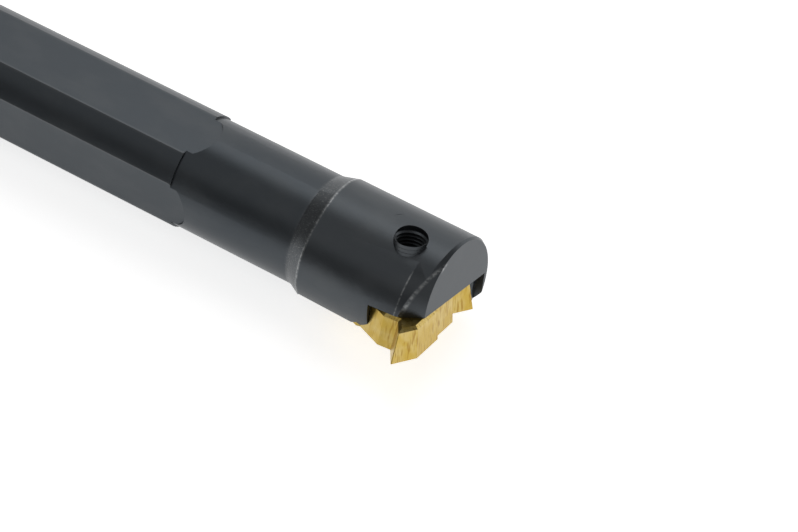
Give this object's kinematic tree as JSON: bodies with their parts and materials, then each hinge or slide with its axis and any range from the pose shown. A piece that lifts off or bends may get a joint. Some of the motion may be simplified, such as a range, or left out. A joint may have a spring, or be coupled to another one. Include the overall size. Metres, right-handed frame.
{
  "type": "boring bar",
  "caption": "Internal threading boring bar: round shank with clamping flats, slim neck, stout head and a screw-on three-corner carbide insert.",
  "frame": {"origin": "centre of the flat rear end of the shank, on the bar's axis", "axes": "+X along the bar's axis towards the cutting end, -Y towards the side the cutting point is on, +Z out of the back, away from the insert's rake face"},
  "size_m": [0.1267, 0.0173, 0.0129],
  "materials": {
    "bar_steel": "black oxide, satin, bright at worn edges",
    "coated_carbide": "gold titanium nitride coating on carbide, satin",
    "screw_steel": "hardened screw, blackened"
  },
  "bodies": {
    "root": {"bar_body": "bar_steel", "insert": "coated_carbide", "insert_screw": "screw_steel"}
  },
  "joints": []
}
